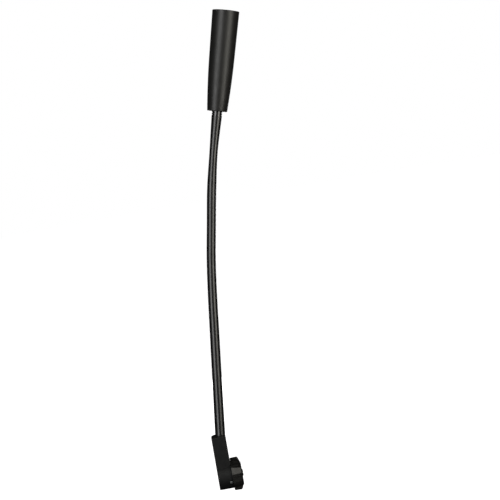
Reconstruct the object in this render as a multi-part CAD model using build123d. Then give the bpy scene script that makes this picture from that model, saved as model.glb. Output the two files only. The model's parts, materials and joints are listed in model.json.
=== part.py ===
from build123d import *
import os
from math import cos, pi, radians, sin, sqrt

# Gooseneck podium microphone with a right-angle screw-on plug, in millimetres.
# +X runs along the plug's axis, out of the mouth of its coupling ring. +Z is up
# the base housing, and -Y is its flat front. The origin is on the plug's axis,
# in the plane of the coupling ring's mouth.

# ---- driving dimensions --------------------------------------------------

# base housing: an upright block that ends in a drum round the plug's axis
HOUSING_LEFT = -16.2
HOUSING_RIGHT = -6.75
HOUSING_FRONT = -5.8
HOUSING_BACK = 4.3
HOUSING_TOP = 27.3
DRUM_RADIUS = 8.85
HOUSING_WALL = 1.6
FRONT_EDGE_RADIUS = 0.45
BACK_EDGE_RADIUS = 4.2

# plug: an M12 x 1 coupling ring round a nose with a metal contact spigot
THREAD_MINOR_RADIUS = 5.46
JOURNAL_RADIUS = 4.95
RUNNING_GAP = 0.06
SPIGOT_RADIUS = 2.25
SPIGOT_REACH = 0.6

# coupling ring: flat panels that slope in to the mouth, with a rib on each corner; the
# first rib lies RING_TURN degrees above the front
RING_REAR_GAP = 0.06
RING_RIBS = 11
RING_TURN = 10.0
RIB_WIDTH = 1.3
PANEL_REAR_RADIUS = 10.1
PANEL_FRONT_RADIUS = 8.2
RIB_REAR_RADIUS = 10.7
RIB_FRONT_RADIUS = 10.9
RIB_NOSE_RADIUS = 9.6
RING_MOUTH_RADIUS = 7.5

# neck: nine spans that turn on each other, from the housing to the head
NECK_ROOT_X = -10.05
SPAN_LENGTH = 23.05
SPAN_LEANS = (6.5, 6.5, 6.7, 6.7, 7.8, 9.9, 10.3, 12.6, 14.7)
PIVOT_RADII = (3.3, 3.22, 3.19, 3.15, 3.08, 3.0, 2.98, 2.98, 2.66, 3.32)
SLEEVE_WALL = 0.4
COIL_WALL = 0.85
COIL_PITCH = 1.6
CABLE_RADIUS = 1.0
BEAD_GAP = 0.16
BEAD_OPENING = 60.0
CABLE_GAP = 0.85

# head: a turned tube, widest at the grille, that narrows to the neck
HEAD_LENGTH = 63.5
HEAD_TOP_RADIUS = 8.58
HEAD_KNEE_HEIGHT = 36.0
HEAD_KNEE_RADIUS = 8.12
HEAD_BELLY_HEIGHT = 19.6
HEAD_BELLY_RADIUS = 7.64
HEAD_FOOT_RADIUS = 6.4
HEAD_WALL = 1.0
COLLAR_LENGTH = 3.1
FERRULE_RADIUS = 4.6
FERRULE_DEPTH = 9.0

# capsule, foam and grille, stacked down from the head's rim
GRILLE_RADIUS = 7.65
GRILLE_THICKNESS = 0.5
GRILLE_RECESS = 0.9
GRILLE_HOLE_RADIUS = 0.45
GRILLE_HOLE_PITCH = 1.4
FOAM_THICKNESS = 2.0
CAPSULE_RADIUS = 4.85
CAPSULE_LENGTH = 5.0
BOARD_WIDTH = 9.0
BOARD_LENGTH = 26.0
BOARD_THICKNESS = 1.0
BOARD_FOOT = 17.0

# small fasteners and wires
SCREW_RADIUS = 1.0
ANCHOR_SCREW_RADIUS = 1.5
LOCK_SCREW_DROP = 20.5
WIRE_RADIUS = 0.35
WIRE_BEND = 1.2

# ---- worked-out places ---------------------------------------------------

HOUSING_WIDTH = HOUSING_RIGHT - HOUSING_LEFT
HOUSING_MIDDLE_X = (HOUSING_LEFT + HOUSING_RIGHT) / 2
CAVITY_RADIUS = DRUM_RADIUS - HOUSING_WALL
CAP_THICKNESS = 1.3
CAP_RADIUS = CAVITY_RADIUS - 0.6
CAVITY_LEFT = HOUSING_LEFT + CAP_THICKNESS
CAVITY_RIGHT = HOUSING_RIGHT - 2.2
ANCHOR_RADIUS = 2.3
ANCHOR_FOOT = 12.0
CABLE_FOOT = 7.0
CABLE_HOLE_RADIUS = 1.4
ANCHOR_SCREW_HEIGHT = 18.0

RING_REAR = HOUSING_RIGHT + RING_REAR_GAP
RING_LIP_FRONT = RING_REAR + 1.1
BOSS_RADIUS = DRUM_RADIUS - 0.05
BOSS_FRONT = HOUSING_RIGHT + 0.3
BOSS_GAP = 0.12
CLIP_REAR = RING_LIP_FRONT + 0.1
CLIP_FRONT = CLIP_REAR + 0.6
CLIP_SEAT_RADIUS = JOURNAL_RADIUS - 0.45
CLIP_RADIUS = JOURNAL_RADIUS + 0.55
NOSE_RADIUS = 4.2
NOSE_REAR = CLIP_FRONT + 0.45
NOSE_FRONT = -1.6
SEAL_THICKNESS = 0.7
SEAL_SEAT_RADIUS = NOSE_RADIUS - 0.3
BARREL_BORE = 3.3
FLANGE_RADIUS = 6.6
SHANK_RADIUS = 6.0
INSULATOR_FRONT = -3.2
SPIGOT_TAIL_RADIUS = SPIGOT_RADIUS - 0.3
SPIGOT_REAR = CAVITY_RIGHT - 2.6
PIN_RADIUS = 0.6
PIN_SLEEVE_RADIUS = 1.2

GRILLE_TOP = HEAD_LENGTH - GRILLE_RECESS
FOAM_TOP = GRILLE_TOP - GRILLE_THICKNESS
FOAM_FOOT = FOAM_TOP - FOAM_THICKNESS
CAPSULE_TOP = FOAM_FOOT - 0.2
CAPSULE_FOOT = CAPSULE_TOP - CAPSULE_LENGTH
HEAD_BORE_RADIUS = GRILLE_RADIUS - 0.75
HEAD_LEAN = SPAN_LEANS[-1]
LAST_SPAN = len(SPAN_LEANS) - 1


def span_places():
    """The pivots of the neck as (x, z), from the housing's top to the head's collar."""
    x, z = NECK_ROOT_X, HOUSING_TOP
    places = [(x, z)]
    for lean in SPAN_LEANS:
        x += SPAN_LENGTH * sin(radians(lean))
        z += SPAN_LENGTH * cos(radians(lean))
        places.append((x, z))
    return places


PIVOTS = span_places()


def leaning(place, lean):
    """A place whose own Z leans from the row's +Z towards +X by this many degrees."""
    return Pos(place[0], 0, place[1]) * Rot(0, lean, 0)


def head_place():
    """The head's own frame: its foot's centre, with Z along the head."""
    x, z = PIVOTS[-1]
    lean = radians(HEAD_LEAN)
    return leaning((x + COLLAR_LENGTH * sin(lean), z + COLLAR_LENGTH * cos(lean)), HEAD_LEAN)


# ---- small shared shapes -------------------------------------------------


def turned(points):
    """A solid of revolution round Z from (radius, height) corners."""
    outline = make_face(Polyline(*[(r, 0, z) for r, z in points], close=True))
    return revolve(outline, Axis.Z)


def disc(radius, low, high, bore=0.0):
    """A disc or ring round Z between two heights."""
    body = Pos(0, 0, (low + high) / 2) * Cylinder(radius, high - low)
    if bore:
        body -= Pos(0, 0, (low + high) / 2) * Cylinder(bore, high - low + 1)
    return body


def along_x(shape):
    """Turn a shape drawn along Z so that it lies along X."""
    return Rot(0, 90, 0) * shape


def bent_wire(points, radius):
    """A round wire through three or more corners, with a bend at each inner one."""
    path = FilletPolyline(*points, radius=WIRE_BEND)
    section = Plane(origin=path @ 0, z_dir=path % 0) * Circle(radius)
    return sweep(section, path=path)


# ---- base ----------------------------------------------------------------


def base_housing():
    """The upright block and the drum, with a low boss that the coupling ring covers."""
    middle_y = (HOUSING_FRONT + HOUSING_BACK) / 2
    block = Box(HOUSING_WIDTH, HOUSING_BACK - HOUSING_FRONT, HOUSING_TOP)
    block = Pos(HOUSING_MIDDLE_X, middle_y, HOUSING_TOP / 2) * block
    block = fillet(block.edges().filter_by(Axis.Z).group_by(Axis.Y)[-1], BACK_EDGE_RADIUS)
    block = fillet(block.edges().filter_by(Axis.Z).group_by(Axis.Y)[0], FRONT_EDGE_RADIUS)
    block = fillet(block.faces().sort_by(Axis.Z)[-1].edges(), FRONT_EDGE_RADIUS)
    drum = along_x(disc(DRUM_RADIUS, HOUSING_LEFT, HOUSING_RIGHT))
    drum = chamfer(drum.edges().filter_by(GeomType.CIRCLE).sort_by(Axis.X)[0], 0.3)
    boss = along_x(disc(BOSS_RADIUS, HOUSING_RIGHT - 1, BOSS_FRONT))
    body = block + drum + boss
    body -= along_x(disc(CAVITY_RADIUS, CAVITY_LEFT, CAVITY_RIGHT))
    body -= along_x(disc(CAP_RADIUS, HOUSING_LEFT - 1, CAVITY_LEFT + 1))
    body -= along_x(disc(SHANK_RADIUS, CAVITY_RIGHT - 1, HOUSING_RIGHT + 1))
    body -= Pos(NECK_ROOT_X, 0, 0) * disc(ANCHOR_RADIUS, ANCHOR_FOOT, HOUSING_TOP + 1)
    body -= Pos(NECK_ROOT_X, 0, 0) * disc(CABLE_HOLE_RADIUS, CABLE_FOOT, ANCHOR_FOOT + 1)
    body -= anchor_screw_place() * disc(ANCHOR_SCREW_RADIUS, 0, 10)
    body -= lock_screw_place() * disc(SCREW_RADIUS, -4, 3)
    return body


def end_cap():
    """The flush cap over the solder joints, with a slot for a coin or a blade."""
    cap = disc(CAP_RADIUS, HOUSING_LEFT, CAVITY_LEFT)
    slot = Pos(0, 0, HOUSING_LEFT) * Box(1.2, 9.0, 1.2)
    return along_x(cap - slot)


def end_cap_seal():
    return along_x(disc(CAVITY_RADIUS - 0.3, CAVITY_LEFT, CAVITY_LEFT + 0.7, bore=5.4))


def neck_anchor():
    """The tube that is crimped on the neck's foot and held in the housing."""
    tube = disc(ANCHOR_RADIUS, ANCHOR_FOOT, HOUSING_TOP, bore=CABLE_RADIUS + 0.25)
    return Pos(NECK_ROOT_X, 0, 0) * tube


def anchor_screw_place():
    """The anchor screw's frame: on the anchor's back, with Z out through the housing."""
    return Pos(NECK_ROOT_X, ANCHOR_RADIUS, ANCHOR_SCREW_HEIGHT) * Rot(-90, 0, 0)


def socket_screw(radius, length, hex_across):
    """A headless screw with its tip at the origin and a hexagon socket at the other end."""
    screw = disc(radius, 0, length)
    socket = extrude(RegularPolygon(hex_across / 2, 6, major_radius=False), 1.2)
    return screw - Pos(0, 0, length - 1.0) * socket


def anchor_screw():
    length = HOUSING_BACK - ANCHOR_RADIUS - 0.3
    return anchor_screw_place() * socket_screw(ANCHOR_SCREW_RADIUS, length, 1.5)


def lock_screw_place():
    """The lock screw's frame: on the drum's surface below its front, with Z outward."""
    screw_x = HOUSING_RIGHT - SCREW_RADIUS - 0.2
    return Pos(screw_x, 0, 0) * Rot(90 + LOCK_SCREW_DROP, 0, 0) * Pos(0, 0, DRUM_RADIUS)


def lock_screw():
    """The small round-topped screw that pins the plug barrel in the drum."""
    seat = SHANK_RADIUS - DRUM_RADIUS + 0.05
    shank = disc(SCREW_RADIUS, seat, 0.25)
    top = chamfer(shank.edges().group_by(Axis.Z)[-1], 0.2)
    slot = Pos(0, 0, 0.25) * Box(0.35, 3 * SCREW_RADIUS, 0.6)
    return lock_screw_place() * (top - slot)


# ---- plug ----------------------------------------------------------------


def plug_barrel():
    """The plated barrel: a flange and shank in the drum, a journal, and the nose."""
    outline = [
        (BARREL_BORE, CAVITY_RIGHT - 0.8),
        (FLANGE_RADIUS, CAVITY_RIGHT - 0.8),
        (FLANGE_RADIUS, CAVITY_RIGHT),
        (SHANK_RADIUS, CAVITY_RIGHT),
        (SHANK_RADIUS, HOUSING_RIGHT),
        (JOURNAL_RADIUS, HOUSING_RIGHT),
        (JOURNAL_RADIUS, CLIP_REAR),
        (CLIP_SEAT_RADIUS, CLIP_REAR),
        (CLIP_SEAT_RADIUS, CLIP_FRONT),
        (JOURNAL_RADIUS, CLIP_FRONT),
        (JOURNAL_RADIUS, NOSE_REAR),
        (SEAL_SEAT_RADIUS, NOSE_REAR),
        (SEAL_SEAT_RADIUS, NOSE_REAR + SEAL_THICKNESS),
        (NOSE_RADIUS, NOSE_REAR + SEAL_THICKNESS),
        (NOSE_RADIUS, NOSE_FRONT - 0.3),
        (NOSE_RADIUS - 0.3, NOSE_FRONT),
        (BARREL_BORE, NOSE_FRONT),
    ]
    return along_x(turned(outline))


def retaining_clip():
    """The open ring that keeps the coupling ring on the barrel."""
    clip = disc(CLIP_RADIUS, CLIP_REAR, CLIP_FRONT, bore=CLIP_SEAT_RADIUS)
    gap = Pos(-JOURNAL_RADIUS, 0, CLIP_REAR) * Box(3, 1.6, 3)
    return along_x(clip - gap)


def front_seal():
    """The flat rubber ring at the root of the nose, where the socket's rim lands."""
    seal_top = NOSE_REAR + SEAL_THICKNESS
    return along_x(disc(5.2, NOSE_REAR, seal_top, bore=SEAL_SEAT_RADIUS))


def barrel_insulator():
    return along_x(disc(BARREL_BORE, CAVITY_RIGHT, INSULATOR_FRONT, bore=SPIGOT_TAIL_RADIUS))


def contact_spigot():
    """The plated tube that stands out past the coupling ring's mouth."""
    tip = 0.35
    outline = [
        (PIN_SLEEVE_RADIUS, SPIGOT_REAR),
        (SPIGOT_TAIL_RADIUS, SPIGOT_REAR),
        (SPIGOT_TAIL_RADIUS, INSULATOR_FRONT),
        (SPIGOT_RADIUS, INSULATOR_FRONT),
        (SPIGOT_RADIUS, SPIGOT_REACH - tip),
        (SPIGOT_RADIUS - tip, SPIGOT_REACH),
        (PIN_SLEEVE_RADIUS, SPIGOT_REACH),
    ]
    return along_x(turned(outline))


def spigot_insulator():
    return along_x(disc(PIN_SLEEVE_RADIUS, SPIGOT_REAR, SPIGOT_REACH - 0.3, bore=PIN_RADIUS))


def centre_pin():
    pin = disc(PIN_RADIUS, SPIGOT_REAR - 0.8, SPIGOT_REACH - 0.3)
    return along_x(chamfer(pin.edges().group_by(Axis.Z)[-1], 0.2))


def ring_outline(across, height):
    """The ring's many-sided outline, whose corners lie under the ribs."""
    corner = across / cos(pi / RING_RIBS)
    turns = [radians(step * 360 / RING_RIBS) for step in range(RING_RIBS)]
    corners = [(corner * cos(turn), corner * sin(turn), height) for turn in turns]
    return make_face(Polyline(*corners, close=True))


def ring_panels():
    """The ring's body: flat panels from the rear to the front, bevelled off at the mouth."""
    rear = ring_outline(PANEL_REAR_RADIUS, RING_REAR)
    front = ring_outline(PANEL_FRONT_RADIUS, 0)
    bevel = [(0, RING_REAR), (12, RING_REAR), (12, -3.2), (RING_MOUTH_RADIUS, 0), (0, 0)]
    return loft([rear, front], ruled=True) & turned(bevel)


def ring_rib():
    """A flat finger rib along the ring, drawn at +X with its foot inside the body."""
    foot = RING_MOUTH_RADIUS
    outline = [
        (foot, RING_REAR + 0.1),
        (RIB_REAR_RADIUS - 0.3, RING_REAR + 0.1),
        (RIB_REAR_RADIUS, RING_REAR + 0.4),
        (RIB_FRONT_RADIUS, -2.0),
        (RIB_NOSE_RADIUS, -1.0),
        (foot, -0.9),
    ]
    side = make_face(Polyline(*[(r, 0, z) for r, z in outline], close=True))
    return extrude(side, RIB_WIDTH / 2, both=True)


def coupling_ring():
    """The finger-turned ring: flat panels between ribs, bored for the journal and the thread."""
    body = ring_panels()
    rib = ring_rib()
    for step in range(RING_RIBS):
        body += Rot(0, 0, step * 360 / RING_RIBS) * rib
    body -= disc(JOURNAL_RADIUS + RUNNING_GAP, RING_REAR - 1, RING_LIP_FRONT + 1)
    body -= disc(BOSS_RADIUS + BOSS_GAP, RING_REAR - 1, BOSS_FRONT + RING_REAR_GAP)
    body -= disc(THREAD_MINOR_RADIUS + 0.65, RING_LIP_FRONT, NOSE_REAR)
    body -= disc(THREAD_MINOR_RADIUS, RING_LIP_FRONT + 0.5, 1)
    lead_in = [(0, -0.7), (THREAD_MINOR_RADIUS, -0.7), (THREAD_MINOR_RADIUS + 0.7, 0), (0, 0)]
    body -= turned(lead_in)
    return along_x(Rot(0, 0, -90 - RING_TURN) * body)


def plug_wires():
    """The cable's two cores, from its end to the spigot's and the centre pin's rear ends."""
    cores = []
    for side, end_x, end_y in ((-1, SPIGOT_REAR - 0.5, 0.95), (1, SPIGOT_REAR + 1.0, 2.4)):
        start = (NECK_ROOT_X - 0.4, side * 0.5, CABLE_FOOT - 0.2)
        bend = (NECK_ROOT_X - 2.4, side * 1.5, 4.4)
        end = (end_x, side * end_y, 0)
        cores.append(bent_wire([start, bend, end], WIRE_RADIUS - 0.05))
    return Compound(children=cores)


# ---- neck ----------------------------------------------------------------


def span_radius(index, height):
    """The sleeve's outer radius at a height on a span, which is straight-sided."""
    low, high = PIVOT_RADII[index], PIVOT_RADII[index + 1]
    return low + (high - low) * height / SPAN_LENGTH


def sleeve_start(index):
    """How far above its pivot a span's sleeve starts, so that it turns clear of the bead."""
    if index == 0:
        return -1.0
    bead = PIVOT_RADII[index]
    return sqrt((bead + BEAD_GAP) ** 2 - (bead - SLEEVE_WALL) ** 2)


def sleeve_side(index, inset):
    """A span's side, drawn in by inset: its foot, and then three points up its bead."""
    start = sleeve_start(index)
    bead = PIVOT_RADII[index + 1] - inset
    rise = radians(90 - BEAD_OPENING)
    side = [(span_radius(index, start) - inset, 0, start)]
    for angle in (0, rise / 2, rise):
        side.append((bead * cos(angle), 0, SPAN_LENGTH + bead * sin(angle)))
    return side


def neck_sleeve(index):
    """A span of the sleeve: a tube that ends in a round bead for the next span to turn on."""
    outer = sleeve_side(index, 0.0)
    inner = sleeve_side(index, SLEEVE_WALL)
    outline = Polyline(outer[1], outer[0], inner[0], inner[1]).edges()
    if index == LAST_SPAN:
        outline.append(Line(inner[1], outer[1]))
    else:
        outline.append(ThreePointArc(*inner[1:]))
        outline.append(Line(inner[3], outer[3]))
        outline.append(ThreePointArc(*outer[1:]))
    return revolve(make_face(outline), Axis.Z)


def neck_coil(index):
    """A span of the close-wound spring, drawn as its turns one on the other."""
    start = PIVOT_RADII[index] + 0.3 if index else 0.6
    turns = int((SPAN_LENGTH - 0.1 - start) / COIL_PITCH)
    groove = 0.25
    outline = []
    for turn in range(turns):
        low = start + turn * COIL_PITCH
        outer = span_radius(index, low) - SLEEVE_WALL - 0.35
        outline += [(outer - groove, low), (outer, low + 0.3 * COIL_PITCH)]
        outline += [(outer, low + 0.7 * COIL_PITCH)]
    top = start + turns * COIL_PITCH
    outline += [(outer - groove, top), (outer - COIL_WALL, top), (outer - COIL_WALL, start)]
    return turned(outline)


def neck_cable(index):
    """A span of the screened cable inside the coil."""
    low = CABLE_GAP if index else 0.0
    high = SPAN_LENGTH
    if index == LAST_SPAN:
        high += COLLAR_LENGTH + FERRULE_DEPTH + 1.0
    return disc(CABLE_RADIUS, low, high)


def cable_foot():
    """The cable's upright end inside the anchor."""
    return Pos(NECK_ROOT_X, 0, 0) * disc(CABLE_RADIUS, CABLE_FOOT, HOUSING_TOP)


# ---- head ----------------------------------------------------------------


def head_outline(inset):
    """The head's side as a closed outline, drawn in by inset all round."""
    top = HEAD_LENGTH + (1.0 if inset else 0.0)
    foot = -1.0 if inset else 0.0
    round_foot = ThreePointArc(
        (HEAD_KNEE_RADIUS - inset, 0, HEAD_KNEE_HEIGHT),
        (HEAD_BELLY_RADIUS - inset, 0, HEAD_BELLY_HEIGHT),
        (HEAD_FOOT_RADIUS - inset, 0, foot),
    )
    sides = Polyline(
        (HEAD_FOOT_RADIUS - inset, 0, foot),
        (0, 0, foot),
        (0, 0, top),
        (HEAD_TOP_RADIUS - inset, 0, top),
        (HEAD_KNEE_RADIUS - inset, 0, HEAD_KNEE_HEIGHT),
    )
    return make_face([round_foot, *sides.edges()])


def head_shell():
    """The turned tube: bored from the top, with a seat for the grille and a solid foot."""
    body = revolve(head_outline(0.0), Axis.Z)
    body = fillet(body.edges().sort_by(Axis.Z)[0], 0.5)
    body = fillet(body.edges().sort_by(Axis.Z)[-1], 0.25)
    bore = revolve(head_outline(HEAD_WALL), Axis.Z)
    limit = disc(HEAD_BORE_RADIUS, FERRULE_DEPTH, HEAD_LENGTH + 2)
    body -= bore & limit
    body -= disc(FERRULE_RADIUS, -1, FERRULE_DEPTH + 1)
    body -= disc(GRILLE_RADIUS, FOAM_TOP, HEAD_LENGTH + 1)
    body -= head_screw_place() * disc(SCREW_RADIUS, 0, 5)
    return body


def hole_centres(pitch, reach):
    """The centres of a triangular grid of holes within a circle."""
    rows = int(reach / pitch) + 2
    centres = []
    for row in range(-rows, rows + 1):
        for column in range(-rows, rows + 1):
            x = pitch * (column + row % 2 / 2)
            y = pitch * row * sqrt(3) / 2
            if x * x + y * y < reach * reach:
                centres.append((x, y))
    return centres


def grille():
    """The perforated disc over the capsule."""
    reach = GRILLE_RADIUS - 1.1 - GRILLE_HOLE_RADIUS
    holes = Locations(*hole_centres(GRILLE_HOLE_PITCH, reach))
    sheet = Sketch() + Circle(GRILLE_RADIUS)
    sheet -= [place * Circle(GRILLE_HOLE_RADIUS) for place in holes.locations]
    return Pos(0, 0, FOAM_TOP) * extrude(sheet, GRILLE_THICKNESS)


def grille_ring():
    """The snap ring that holds the grille down in the rim."""
    return disc(GRILLE_RADIUS, GRILLE_TOP, GRILLE_TOP + 0.5, bore=GRILLE_RADIUS - 0.7)


def foam_disc():
    return disc(HEAD_BORE_RADIUS - 0.1, FOAM_FOOT, FOAM_TOP - 0.02)


def capsule_holder():
    """The rubber ring that carries the capsule in the bore."""
    ring = disc(HEAD_BORE_RADIUS, CAPSULE_FOOT + 0.5, CAPSULE_TOP - 0.3, bore=CAPSULE_RADIUS)
    groove = disc(HEAD_BORE_RADIUS + 1, CAPSULE_FOOT + 1.8, CAPSULE_TOP - 1.6, bore=6.2)
    return ring - groove


def capsule_can():
    """The condenser capsule, with the sound holes in its face."""
    can = disc(CAPSULE_RADIUS, CAPSULE_FOOT, CAPSULE_TOP)
    can = fillet(can.edges().group_by(Axis.Z)[-1], 0.4)
    for place in PolarLocations(2.4, 6):
        can -= place * disc(0.4, CAPSULE_TOP - 0.6, CAPSULE_TOP + 1)
    return can


def preamp_board():
    middle = BOARD_FOOT + BOARD_LENGTH / 2
    return Pos(0, 0, middle) * Box(BOARD_WIDTH, BOARD_THICKNESS, BOARD_LENGTH)


def board_parts():
    """The transistor, capacitors, resistors and inductor soldered to the board's front."""
    face = -BOARD_THICKNESS / 2
    sizes = (
        (0.0, 4.0, 3.0, 1.4, 2.6),
        (-2.4, 9.0, 1.6, 0.9, 3.0),
        (2.4, 9.0, 1.6, 0.9, 3.0),
        (0.0, 14.5, 4.6, 2.2, 4.6),
        (-2.6, 20.0, 2.0, 1.2, 1.2),
        (1.6, 21.0, 2.6, 1.6, 3.2),
    )
    parts = []
    for x, up, width, thick, tall in sizes:
        chip = Box(width, thick, tall)
        parts.append(Pos(x, face - thick / 2, BOARD_FOOT + up) * chip)
    return Compound(children=parts)


def capsule_leads():
    """Two straight leads from the capsule's back to the back of the board's top end."""
    foot = BOARD_FOOT + BOARD_LENGTH - 2.0
    lead = disc(WIRE_RADIUS, foot, CAPSULE_FOOT)
    y = BOARD_THICKNESS / 2 + WIRE_RADIUS
    return Compound(children=[Pos(x, y, 0) * lead for x in (-1.3, 1.3)])


def head_ferrule():
    """The plated tail of the head: a plug in the shell's foot and a ringed collar below it."""
    bore = CABLE_RADIUS + 0.15
    outer = PIVOT_RADII[-1]
    groove = 0.3
    ring = COLLAR_LENGTH / 5
    outline = [(bore, -COLLAR_LENGTH)]
    for step in range(5):
        radius = outer - (groove if step % 2 else 0.0)
        low = -COLLAR_LENGTH + step * ring
        outline += [(radius, low), (radius, low + ring)]
    outline += [(FERRULE_RADIUS, 0), (FERRULE_RADIUS, FERRULE_DEPTH), (bore, FERRULE_DEPTH)]
    return turned(outline)


def head_screw_place():
    """The head screw's frame: on the ferrule's back, with Z out through the shell."""
    return Pos(0, FERRULE_RADIUS, 5.0) * Rot(-90, 0, 0)


def head_screw():
    return head_screw_place() * socket_screw(SCREW_RADIUS, 1.9, 0.9)


# ---- the assembly --------------------------------------------------------


def base_parts():
    return {
        "base_housing": base_housing(),
        "end_cap": end_cap(),
        "end_cap_seal": end_cap_seal(),
        "neck_anchor": neck_anchor(),
        "anchor_screw": anchor_screw(),
        "lock_screw": lock_screw(),
        "plug_barrel": plug_barrel(),
        "retaining_clip": retaining_clip(),
        "front_seal": front_seal(),
        "barrel_insulator": barrel_insulator(),
        "contact_spigot": contact_spigot(),
        "spigot_insulator": spigot_insulator(),
        "centre_pin": centre_pin(),
        "coupling_ring": coupling_ring(),
        "plug_wires": plug_wires(),
    }


def neck_parts():
    parts = {}
    for index, lean in enumerate(SPAN_LEANS):
        place = leaning(PIVOTS[index], lean)
        sleeve = place * neck_sleeve(index)
        cable = place * neck_cable(index)
        if index == 0:
            below = Pos(NECK_ROOT_X, 0, HOUSING_TOP - 5) * Box(20, 20, 10)
            sleeve -= below
            cable = cable_foot() + cable
        parts[f"neck_sleeve_{index + 1}"] = sleeve
        parts[f"neck_coil_{index + 1}"] = place * neck_coil(index)
        parts[f"neck_cable_{index + 1}"] = cable
    return parts


def head_parts():
    shapes = {
        "head_shell": head_shell(),
        "grille": grille(),
        "grille_ring": grille_ring(),
        "foam_disc": foam_disc(),
        "capsule_holder": capsule_holder(),
        "capsule_can": capsule_can(),
        "capsule_leads": capsule_leads(),
        "preamp_board": preamp_board(),
        "board_parts": board_parts(),
        "head_ferrule": head_ferrule(),
        "head_screw": head_screw(),
    }
    place = head_place()
    return {name: place * shape for name, shape in shapes.items()}


os.makedirs("parts", exist_ok=True)
for node, shape in {**base_parts(), **neck_parts(), **head_parts()}.items():
    export_step(shape, f"parts/{node}.step")
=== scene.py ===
"""Looks of the gooseneck podium microphone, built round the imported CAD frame.

The CAD nodes keep their shapes and get procedural materials. The neck's sleeve, which
bends, is made here as one skin over each neck joint, and so is the foam behind the grille.
"""

import json
import math

import bmesh
import bpy
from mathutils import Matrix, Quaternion, Vector


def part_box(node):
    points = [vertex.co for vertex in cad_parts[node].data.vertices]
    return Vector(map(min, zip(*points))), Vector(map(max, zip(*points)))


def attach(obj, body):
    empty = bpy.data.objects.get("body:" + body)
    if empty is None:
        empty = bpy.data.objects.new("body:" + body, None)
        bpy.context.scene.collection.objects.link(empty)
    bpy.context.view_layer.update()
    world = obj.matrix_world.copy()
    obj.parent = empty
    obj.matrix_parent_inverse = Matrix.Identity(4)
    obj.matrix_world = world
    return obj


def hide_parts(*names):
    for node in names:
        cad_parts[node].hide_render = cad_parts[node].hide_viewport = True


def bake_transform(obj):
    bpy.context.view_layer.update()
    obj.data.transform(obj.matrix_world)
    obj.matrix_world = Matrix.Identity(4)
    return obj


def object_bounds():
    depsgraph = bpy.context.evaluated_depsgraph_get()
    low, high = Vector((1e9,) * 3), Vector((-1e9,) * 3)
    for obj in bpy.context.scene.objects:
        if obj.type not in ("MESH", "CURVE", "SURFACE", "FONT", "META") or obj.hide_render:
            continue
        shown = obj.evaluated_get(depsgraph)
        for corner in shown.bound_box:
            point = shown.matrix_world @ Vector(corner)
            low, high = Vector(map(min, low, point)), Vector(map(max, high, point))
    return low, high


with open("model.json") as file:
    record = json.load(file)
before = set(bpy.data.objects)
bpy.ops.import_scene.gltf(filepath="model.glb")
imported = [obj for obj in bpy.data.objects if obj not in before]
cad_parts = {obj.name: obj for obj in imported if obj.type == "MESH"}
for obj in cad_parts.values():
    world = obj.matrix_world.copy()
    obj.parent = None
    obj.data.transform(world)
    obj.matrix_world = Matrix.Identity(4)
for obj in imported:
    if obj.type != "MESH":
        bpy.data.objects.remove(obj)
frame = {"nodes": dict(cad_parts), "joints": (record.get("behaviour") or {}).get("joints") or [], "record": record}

CAD_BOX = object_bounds()

MM = 0.001

# Camera
CAMERA_AZIMUTH = -2.6         # degrees, positive towards the plug's mouth
CAMERA_ELEVATION = 6.15
CAMERA_ROLL = 9.6             # the object leans this far to the left in the picture
CAMERA_DISTANCE = 0.834
SENSOR_WIDTH = 36.0
CLIP_START = 0.1
CLIP_END = 100.0
PICTURE_WIDTH = 0.3226        # what the picture spans at the object
AIM_ALONG = 0.02935           # the picture's centre, from the plug's axis and face
AIM_UP = 0.1437

# Softboxes round the object: azimuth and elevation in degrees, distance, width and height
# in metres, power in watts and colour. The two in front make the neck's and head's stripes;
# the low one behind lights the back and stays off the faces that look up.
SOFTBOXES = {
    "left_softbox": (-38, 12, 1.2, 0.62, 1.6, 11.2, (0.99, 0.99, 0.98)),
    "right_softbox": (43, 12, 1.2, 0.62, 1.6, 12.2, (1.0, 0.975, 0.89)),
    "rear_softbox": (180, -10, 1.4, 1.6, 0.22, 4.4, (1.0, 1.0, 1.0)),
}
FILL_STRENGTH = 0.02
WHITE = (1.0, 1.0, 1.0, 1.0)

# Floor
FLOOR_DROP = 0.2
FLOOR_RADIUS = 6.0
FLOOR_SEGMENTS = 96
FLOOR_COLOUR = (0.9, 0.9, 0.9, 1.0)
FLOOR_ROUGHNESS = 0.9

# Meshes made here
TUBE_SEGMENTS = 48
SHARP_ANGLE = 40.0            # degrees

# Neck skin, from its foot on the housing to the head's collar
NECK_FOOT_X = -10.05 * MM
HEAD_LEAN = 14.7              # degrees
SKIN_RADII = (3.3, 3.22, 3.19, 3.15, 3.08, 3.0, 2.98, 2.98, 2.66, 3.32)  # mm, foot to collar
SKIN_WALL = 0.4 * MM
RINGS_PER_SPAN = 24
SLOPE_STEP = 0.01             # spans, to either side of a place on the neck's curve

# Foam disc behind the grille
FOAM_RADIUS = 6.8 * MM
FOAM_THICKNESS = 1.9 * MM
FOAM_EDGE = 0.4 * MM
FOAM_EDGE_CUT = 0.3 * FOAM_EDGE   # how far the edge's middle stays inside a square corner
FOAM_CENTRE = 0.02 * MM       # radius of the pinhole that the foam's rings close in on

# Sizes of the patterns in the finishes
CLOUD_SIZE = 9.0 * MM
GLOSS_PATCH_SIZE = 3.0 * MM
WEAR_PATCH_SIZE = 1.2 * MM
WEAR_PATCH_RANGE = (0.45, 0.65)   # the noise values where a patch begins and is full
WEAR_RADIUS = 0.25 * MM
EDGE_RANGE = (0.86, 0.985)    # how alike the true and the rounded normals are, edge to face
EDGE_SAMPLES = 4
TARNISH_SIZE = 2.5 * MM
POLISH_SIZE = 1.5 * MM
RELIEF_DETAIL = 2.0           # octaves of noise in a relief
LATHE_LINE = 0.08 * MM
LATHE_DEPTH = 0.004 * MM
LATHE_STRETCH = 0.05          # how much slower the lines change across the turning axis


# ---------------------------------------------------------------- directions

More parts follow.
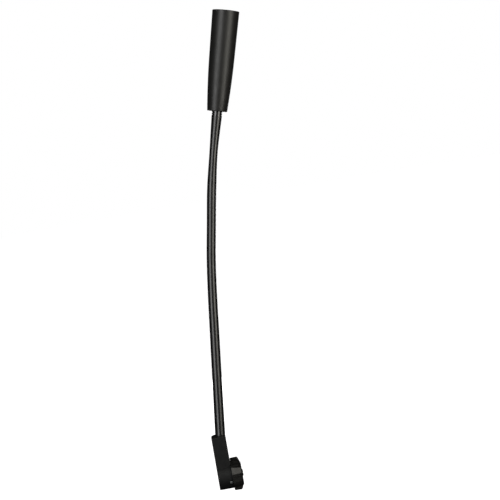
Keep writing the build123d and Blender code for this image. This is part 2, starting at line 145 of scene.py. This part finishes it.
def outward(azimuth, elevation):
    """Unit vector from the object towards a view: azimuth 0 is -Y and 90 is +X."""
    a = math.radians(azimuth)
    e = math.radians(elevation)
    return Vector((math.sin(a) * math.cos(e), -math.cos(a) * math.cos(e), math.sin(e)))


# ---------------------------------------------------------------- stage

def make_camera():
    """A near camera that looks slightly down at the base and slightly up at the head."""
    back = outward(CAMERA_AZIMUTH, CAMERA_ELEVATION)
    data = bpy.data.cameras.new("camera")
    data.sensor_width = SENSOR_WIDTH
    data.lens = SENSOR_WIDTH * CAMERA_DISTANCE / PICTURE_WIDTH
    data.clip_start = CLIP_START
    data.clip_end = CLIP_END
    camera = bpy.data.objects.new("camera", data)
    bpy.context.scene.collection.objects.link(camera)
    aim = Vector((AIM_ALONG, 0.0, AIM_UP))
    roll = Quaternion(back, math.radians(-CAMERA_ROLL))
    camera.rotation_mode = "QUATERNION"
    camera.rotation_quaternion = roll @ (-back).to_track_quat("-Z", "Y")
    camera.location = aim + back * CAMERA_DISTANCE
    bpy.context.scene.camera = camera


def make_softbox(name, azimuth, elevation, distance, width, height, power, colour):
    """A rectangular area light that faces the object's middle."""
    centre = (CAD_BOX[0] + CAD_BOX[1]) / 2
    direction = outward(azimuth, elevation)
    data = bpy.data.lights.new(name, "AREA")
    data.shape = "RECTANGLE"
    data.size = width
    data.size_y = height
    data.energy = power
    data.color = colour
    light = bpy.data.objects.new(name, data)
    light.location = centre + direction * distance
    light.rotation_mode = "QUATERNION"
    light.rotation_quaternion = (-direction).to_track_quat("-Z", "Y")
    bpy.context.scene.collection.objects.link(light)


def make_lights():
    """All the softboxes."""
    for name, settings in SOFTBOXES.items():
        make_softbox(name, *settings)


def make_world():
    """White where the camera looks past the object, and a faint fill for everything else."""
    world = bpy.data.worlds.new("studio")
    world.use_nodes = True
    nodes = world.node_tree.nodes
    links = world.node_tree.links
    nodes.clear()
    output = nodes.new("ShaderNodeOutputWorld")
    mix = nodes.new("ShaderNodeMixShader")
    path = nodes.new("ShaderNodeLightPath")
    fill = nodes.new("ShaderNodeBackground")
    white = nodes.new("ShaderNodeBackground")
    fill.inputs["Color"].default_value = WHITE
    fill.inputs["Strength"].default_value = FILL_STRENGTH
    white.inputs["Color"].default_value = WHITE
    links.new(path.outputs["Is Camera Ray"], mix.inputs["Fac"])
    links.new(fill.outputs["Background"], mix.inputs[1])
    links.new(white.outputs["Background"], mix.inputs[2])
    links.new(mix.outputs["Shader"], output.inputs["Surface"])
    bpy.context.scene.world = world
    bpy.context.scene.view_settings.view_transform = "Standard"


def make_floor():
    """A pale, evenly lit floor, well below the object, that adds no light to it."""
    mesh = bpy.data.meshes.new("floor")
    shape = bmesh.new()
    bmesh.ops.create_circle(
        shape, cap_ends=True, segments=FLOOR_SEGMENTS, radius=FLOOR_RADIUS)
    shape.to_mesh(mesh)
    shape.free()
    floor = bpy.data.objects.new("floor", mesh)
    floor.location = (0.0, 0.0, CAD_BOX[0].z - FLOOR_DROP)
    floor.visible_diffuse = False
    floor.visible_glossy = False
    bpy.context.scene.collection.objects.link(floor)
    material = bpy.data.materials.new("floor_pale")
    material.use_nodes = True
    shader = material.node_tree.nodes["Principled BSDF"]
    shader.inputs["Base Color"].default_value = FLOOR_COLOUR
    shader.inputs["Roughness"].default_value = FLOOR_ROUGHNESS
    shader.inputs["Emission Color"].default_value = WHITE
    shader.inputs["Emission Strength"].default_value = 1.0
    mesh.materials.append(material)


# ---------------------------------------------------------------- materials

class Finish:
    """One procedural material: a Principled shader and the nodes that feed it."""

    def __init__(self, name, metallic=0.0, ior=1.5):
        self.material = bpy.data.materials.new(name)
        self.material.use_nodes = True
        self.nodes = self.material.node_tree.nodes
        self.links = self.material.node_tree.links
        self.shader = self.nodes["Principled BSDF"]
        self.shader.inputs["Metallic"].default_value = metallic
        self.shader.inputs["IOR"].default_value = ior
        self.place = self.nodes.new("ShaderNodeTexCoord").outputs["Object"]

    def noise(self, size, detail=3.0, stretch=None):
        """Noise with features of about that size in metres, stretched if asked."""
        place = self.place
        if stretch:
            mapping = self.nodes.new("ShaderNodeMapping")
            mapping.inputs["Scale"].default_value = stretch
            self.links.new(place, mapping.inputs["Vector"])
            place = mapping.outputs["Vector"]
        node = self.nodes.new("ShaderNodeTexNoise")
        node.inputs["Scale"].default_value = 1.0 / size
        node.inputs["Detail"].default_value = detail
        self.links.new(place, node.inputs["Vector"])
        return node.outputs["Fac"]

    def spread(self, value, low, high, start=0.3, end=0.7):
        """Maps a 0-1 pattern from start-end to low-high."""
        node = self.nodes.new("ShaderNodeMapRange")
        node.inputs["From Min"].default_value = start
        node.inputs["From Max"].default_value = end
        node.inputs["To Min"].default_value = low
        node.inputs["To Max"].default_value = high
        self.links.new(value, node.inputs["Value"])
        return node.outputs["Result"]

    def times(self, first, second):
        """The product of two patterns."""
        node = self.nodes.new("ShaderNodeMath")
        node.operation = "MULTIPLY"
        self.links.new(first, node.inputs[0])
        self.links.new(second, node.inputs[1])
        return node.outputs["Value"]

    def mixed(self, share, first, second):
        """A colour between two, which may be colours or other nodes' outputs."""
        node = self.nodes.new("ShaderNodeMix")
        node.data_type = "RGBA"
        self.links.new(share, node.inputs["Factor"])
        for socket, colour in ((node.inputs[6], first), (node.inputs[7], second)):
            if isinstance(colour, bpy.types.NodeSocket):
                self.links.new(colour, socket)
            else:
                socket.default_value = (*colour, 1.0)
        return node.outputs[2]

    def edges(self, radius):
        """1 along edges of about that radius and 0 on flat or gently curved faces."""
        rounded = self.nodes.new("ShaderNodeBevel")
        rounded.samples = EDGE_SAMPLES
        rounded.inputs["Radius"].default_value = radius
        true = self.nodes.new("ShaderNodeNewGeometry")
        dot = self.nodes.new("ShaderNodeVectorMath")
        dot.operation = "DOT_PRODUCT"
        self.links.new(rounded.outputs["Normal"], dot.inputs[0])
        self.links.new(true.outputs["Normal"], dot.inputs[1])
        return self.spread(dot.outputs["Value"], 1.0, 0.0, *EDGE_RANGE)

    def bump(self, pattern, depth):
        """Gives the surface a pattern's relief, depth metres from its lowest to its highest."""
        node = self.nodes.new("ShaderNodeBump")
        node.inputs["Strength"].default_value = 1.0
        node.inputs["Distance"].default_value = depth
        self.links.new(pattern, node.inputs["Height"])
        self.links.new(node.outputs["Normal"], self.shader.inputs["Normal"])

    def colour(self, value):
        """Takes the surface's colour from a node's output."""
        self.links.new(value, self.shader.inputs["Base Color"])

    def roughness(self, value):
        """Takes the surface's roughness from a node's output."""
        self.links.new(value, self.shader.inputs["Roughness"])


def moulded(name, dark, light, worn, low, high, grain, depth, wear=0.6, **shader):
    """Moulded or painted surface: cloudy colour, fine grain, and edges rubbed lighter."""
    finish = Finish(name, **shader)
    clouds = finish.spread(finish.noise(CLOUD_SIZE), 0.0, 1.0)
    body = finish.mixed(clouds, dark, light)
    patches = finish.spread(finish.noise(WEAR_PATCH_SIZE), 0.0, wear, *WEAR_PATCH_RANGE)
    rubbed = finish.times(finish.edges(WEAR_RADIUS), patches)
    finish.colour(finish.mixed(rubbed, body, worn))
    finish.roughness(finish.spread(finish.noise(GLOSS_PATCH_SIZE), low, high))
    finish.bump(finish.noise(grain, RELIEF_DETAIL), depth)
    return finish.material


def turned_metal(name, dark, light, low, high, axis=0):
    """Machined metal: fine lines round the turning axis, and a slightly uneven tone."""
    finish = Finish(name, metallic=1.0)
    tone = finish.spread(finish.noise(TARNISH_SIZE), 0.0, 1.0)
    finish.colour(finish.mixed(tone, dark, light))
    finish.roughness(finish.spread(finish.noise(POLISH_SIZE), low, high))
    stretch = [LATHE_STRETCH] * 3
    stretch[axis] = 1.0
    finish.bump(finish.noise(LATHE_LINE, RELIEF_DETAIL, stretch), LATHE_DEPTH)
    return finish.material


def make_materials():
    """The finishes by the record's material slots."""
    made = {}
    made["housing"] = moulded(
        "housing_plastic", (0.0058, 0.0062, 0.0064), (0.0072, 0.0077, 0.0079),
        (0.02, 0.02, 0.02), 0.46, 0.56, 0.16 * MM, 0.010 * MM, ior=1.35)
    made["ring"] = moulded(
        "ring_black", (0.006, 0.0059, 0.0057), (0.009, 0.0088, 0.0084),
        (0.05, 0.047, 0.042), 0.30, 0.40, 0.12 * MM, 0.006 * MM, ior=1.38)
    made["head_paint"] = moulded(
        "head_charcoal", (0.010, 0.0098, 0.0092), (0.013, 0.0128, 0.012),
        (0.04, 0.04, 0.037), 0.38, 0.46, 0.14 * MM, 0.008 * MM)
    made["sleeve"] = moulded(
        "sleeve_black", (0.004, 0.004, 0.004), (0.006, 0.006, 0.006),
        (0.012, 0.012, 0.012), 0.28, 0.33, 1.4 * MM, 0.002 * MM, wear=0.1, ior=1.66)
    made["spring_steel"] = turned_metal(
        "spring_steel", (0.38, 0.38, 0.39), (0.48, 0.48, 0.49), 0.28, 0.40, axis=2)
    made["cable"] = moulded(
        "cable_jacket", (0.020, 0.020, 0.021), (0.028, 0.028, 0.029),
        (0.05, 0.05, 0.05), 0.40, 0.52, 0.3 * MM, 0.006 * MM)
    made["nickel"] = turned_metal(
        "nickel_plate", (0.62, 0.61, 0.59), (0.72, 0.71, 0.69), 0.30, 0.42)
    made["collar"] = turned_metal(
        "black_nickel", (0.075, 0.075, 0.076), (0.11, 0.11, 0.112), 0.22, 0.32)
    made["steel"] = turned_metal(
        "screw_steel", (0.30, 0.32, 0.32), (0.38, 0.40, 0.40), 0.50, 0.60)
    made["contact"] = turned_metal(
        "plated_contact", (0.80, 0.78, 0.74), (0.88, 0.86, 0.82), 0.14, 0.24)
    made["insulator"] = moulded(
        "insulator_plastic", (0.42, 0.41, 0.38), (0.50, 0.49, 0.46),
        (0.60, 0.60, 0.58), 0.45, 0.55, 0.2 * MM, 0.006 * MM)
    made["seal"] = moulded(
        "seal_rubber", (0.012, 0.012, 0.012), (0.018, 0.018, 0.018),
        (0.03, 0.03, 0.03), 0.60, 0.75, 0.2 * MM, 0.010 * MM)
    made["foam"] = moulded(
        "foam_black", (0.010, 0.010, 0.010), (0.020, 0.020, 0.020),
        (0.02, 0.02, 0.02), 0.85, 0.95, 0.35 * MM, 0.15 * MM)
    made["grille"] = moulded(
        "grille_black", (0.012, 0.012, 0.012), (0.018, 0.018, 0.0175),
        (0.06, 0.06, 0.058), 0.40, 0.52, 0.15 * MM, 0.006 * MM)
    made["capsule"] = turned_metal(
        "capsule_can", (0.60, 0.60, 0.60), (0.70, 0.70, 0.70), 0.20, 0.32, axis=2)
    made["board"] = moulded(
        "circuit_board", (0.010, 0.060, 0.025), (0.014, 0.078, 0.034),
        (0.10, 0.12, 0.06), 0.35, 0.45, 0.25 * MM, 0.004 * MM)
    made["board_part"] = moulded(
        "board_parts", (0.020, 0.020, 0.022), (0.030, 0.030, 0.032),
        (0.08, 0.08, 0.08), 0.40, 0.50, 0.2 * MM, 0.004 * MM)
    made["wire"] = moulded(
        "wire_jacket", (0.35, 0.02, 0.02), (0.42, 0.03, 0.025),
        (0.45, 0.10, 0.08), 0.35, 0.45, 0.2 * MM, 0.003 * MM)
    return made


def dress_nodes(materials):
    """Gives each CAD node its slot's material, on every material slot it has."""
    slots = {part["node"]: part["material_slot"] for part in frame["record"]["subparts"]}
    for name, node in frame["nodes"].items():
        finish = materials[slots[name]]
        if not node.material_slots:
            node.data.materials.append(finish)
        for holder in node.material_slots:
            holder.material = finish


# ---------------------------------------------------------------- neck skin

def head_axis():
    """Unit vector along the leaning head, from the neck to the grille."""
    lean = math.radians(HEAD_LEAN)
    return Vector((math.sin(lean), 0.0, math.cos(lean)))


def neck_joints():
    """The neck's joints from the frame, in order from the housing to the head."""
    return [joint for joint in frame["joints"] if joint["name"].startswith("neck_bend")]


def neck_places():
    """The neck's foot, its joints and its top end, which its centreline goes through."""
    joints = [Vector(joint["pos_m"]) for joint in neck_joints()]
    span = (joints[1] - joints[0]).length
    foot = Vector((NECK_FOOT_X, 0.0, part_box("base_housing")[1].z))
    return [foot, *joints, joints[-1] + head_axis() * span]


def slopes(values):
    """How fast a smooth curve through the values changes at each of them, per span."""
    steps = [after - before for before, after in zip(values, values[1:])]
    inner = [(before + after) / 2 for before, after in zip(steps, steps[1:])]
    return [steps[0], *inner, steps[-1]]


def along_curve(values, place):
    """The smooth curve's value at a place such as 2.5, half-way from the third to the fourth."""
    index = min(int(place), len(values) - 2)
    s = place - index
    rates = slopes(values)
    return (
        values[index] * (2 * s**3 - 3 * s**2 + 1)
        + rates[index] * (s**3 - 2 * s**2 + s)
        + values[index + 1] * (3 * s**2 - 2 * s**3)
        + rates[index + 1] * (s**3 - s**2)
    )


def circle(centre, along, radius):
    """A ring of points round a centre in the neck's plane, square to the way along."""
    side = Vector((0.0, 1.0, 0.0))
    across = side.cross(along)
    turns = [2 * math.pi * step / TUBE_SEGMENTS for step in range(TUBE_SEGMENTS)]
    return [centre + (across * math.cos(t) + side * math.sin(t)) * radius for t in turns]


def make_tube(name, rings):
    """A closed mesh through rings of points, from the last ring back to the first."""
    mesh = bpy.data.meshes.new(name)
    shape = bmesh.new()
    loops = [[shape.verts.new(point) for point in ring] for ring in rings]
    for low, high in zip(loops, loops[1:] + loops[:1]):
        for step in range(TUBE_SEGMENTS):
            after = (step + 1) % TUBE_SEGMENTS
            face = shape.faces.new((low[step], low[after], high[after], high[step]))
            face.smooth = True
    bmesh.ops.recalc_face_normals(shape, faces=shape.faces)
    for edge in shape.edges:
        edge.smooth = edge.calc_face_angle() < math.radians(SHARP_ANGLE)
    shape.to_mesh(mesh)
    shape.free()
    tube = bpy.data.objects.new(name, mesh)
    bpy.context.scene.collection.objects.link(tube)
    return tube


def skin_rings(places, start, end):
    """The outer rings of a length of skin from start to end, then its inner ones back.

    The skin's foot stands square on the housing.
    """
    count = round((end - start) * RINGS_PER_SPAN)
    outer = []
    inner = []
    for step in range(count + 1):
        place = start + (end - start) * step / count
        low = max(place - SLOPE_STEP, 0.0)
        high = min(place + SLOPE_STEP, len(places) - 1.0)
        along = (along_curve(places, high) - along_curve(places, low)).normalized()
        if place == 0.0:
            along = Vector((0.0, 0.0, 1.0))
        centre = along_curve(places, place)
        radius = along_curve(SKIN_RADII, place) * MM
        outer.append(circle(centre, along, radius))
        inner.append(circle(centre, along, radius - SKIN_WALL))
    return outer + inner[::-1]


def make_neck_skin(material):
    """One skin over each neck joint, from mid-span to mid-span."""
    places = neck_places()
    joints = neck_joints()
    last = len(joints)
    for number, joint in enumerate(joints, start=1):
        start = 0.0 if number == 1 else number - 0.5
        end = last + 1.0 if number == last else number + 0.5
        skin = make_tube(f"neck_skin_{number}", skin_rings(places, start, end))
        skin.data.materials.append(material)
        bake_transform(skin)
        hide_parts(f"neck_sleeve_{number}")
    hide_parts(f"neck_sleeve_{last + 1}")


# ---------------------------------------------------------------- foam

def make_foam(material):
    """The round-edged foam disc behind the grille."""
    low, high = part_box("foam_disc")
    centre = (low + high) / 2
    along = head_axis()
    half = FOAM_THICKNESS / 2
    profile = [
        (FOAM_CENTRE, half),
        (FOAM_RADIUS - FOAM_EDGE, half),
        (FOAM_RADIUS - FOAM_EDGE_CUT, half - FOAM_EDGE_CUT),
        (FOAM_RADIUS, half - FOAM_EDGE),
        (FOAM_RADIUS, FOAM_EDGE - half),
        (FOAM_RADIUS - FOAM_EDGE_CUT, FOAM_EDGE_CUT - half),
        (FOAM_RADIUS - FOAM_EDGE, -half),
        (FOAM_CENTRE, -half),
    ]
    rings = [circle(centre + along * height, along, radius) for radius, height in profile]
    foam = make_tube("foam_pad", rings)
    foam.data.materials.append(material)
    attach(foam, "head")
    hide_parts("foam_disc")


# ---------------------------------------------------------------- scene

def make_scene():
    """The stage, the finishes on the CAD nodes, and the soft pieces."""
    make_camera()
    make_lights()
    make_world()
    make_floor()
    materials = make_materials()
    dress_nodes(materials)
    make_neck_skin(materials["sleeve"])
    make_foam(materials["foam"])


make_scene()
